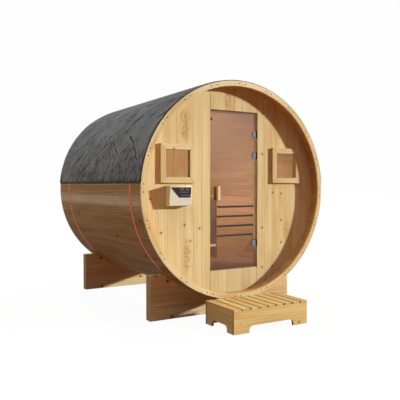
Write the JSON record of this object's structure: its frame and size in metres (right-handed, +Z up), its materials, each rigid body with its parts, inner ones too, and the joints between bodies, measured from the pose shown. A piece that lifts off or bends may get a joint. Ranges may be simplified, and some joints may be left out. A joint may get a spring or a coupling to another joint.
{
  "type": "barrel sauna",
  "caption": "Outdoor barrel sauna of pine staves with felt roof, hoops, cradles, glazed hinged door, small windows, bench inside and a slatted step in front.",
  "frame": {"origin": "on the ground, at the middle of the bounding box's bottom", "axes": "+Z up, +Y from the door towards the back wall along the barrel, +X to the right when facing the door"},
  "size_m": [2.1146, 2.908, 2.2967],
  "materials": {
    "pine_barrel": "planed, oiled",
    "pine_front": "planed, oiled",
    "pine_trim": "planed, oiled",
    "pine_inside": "planed, bare",
    "pine_base": "planed, oiled",
    "handle_wood": "turned smooth, oiled",
    "roof_felt": "bituminous, mineral grain, wrinkled",
    "hoop_metal": "satin orange-brown",
    "bronze_glass": "clear, bronze tint",
    "hinge_chrome": "bright",
    "catch_dark": "matte",
    "box_cream": "fine texture",
    "display_black": "gloss"
  },
  "bodies": {
    "root": {"roof_staves": "pine_barrel", "left_staves": "pine_barrel", "right_staves": "pine_barrel", "belly_staves": "pine_barrel", "front_rim_ring": "pine_trim", "back_rim_ring": "pine_trim", "front_hoop": "hoop_metal", "rear_hoop": "hoop_metal", "roof_felt": "roof_felt", "front_cradle": "pine_base", "rear_cradle": "pine_base", "front_wall_left": "pine_front", "front_wall_right": "pine_front", "door_post_left": "pine_front", "door_post_right": "pine_front", "door_header": "pine_front", "door_sill": "pine_front", "door_stop": "pine_inside", "back_wall_left": "pine_front", "back_wall_middle": "pine_front", "back_wall_right": "pine_front", "window_frame_left": "pine_trim", "window_frame_right": "pine_trim", "window_glass_left": "bronze_glass", "window_glass_right": "bronze_glass", "floor_boards": "pine_inside", "floor_bearers": "pine_inside", "bench_seat": "pine_inside", "bench_end_boards": "pine_inside", "bench_front_boards": "pine_inside", "bench_kick_board": "pine_inside", "bench_frame": "pine_inside", "door_hinge_brackets": "hinge_chrome", "control_box": "box_cream", "control_display": "display_black", "step_front_skirt": "pine_base", "step_back_skirt": "pine_base", "step_side_skirts": "pine_base", "step_slats": "pine_base"},
    "door": {"door_glass": "bronze_glass", "door_handle_outer": "handle_wood", "door_handle_inner": "handle_wood", "door_hinge_clamps": "hinge_chrome", "door_catch": "catch_dark", "door_latch": "box_cream"}
  },
  "joints": [
    {"name": "door_hinge", "type": "hinge", "parent": "root", "child": "door", "pos_m": [0.262, -0.836, 1.237], "axis": [0, 0, 1], "range_deg": [0, 100]}
  ]
}
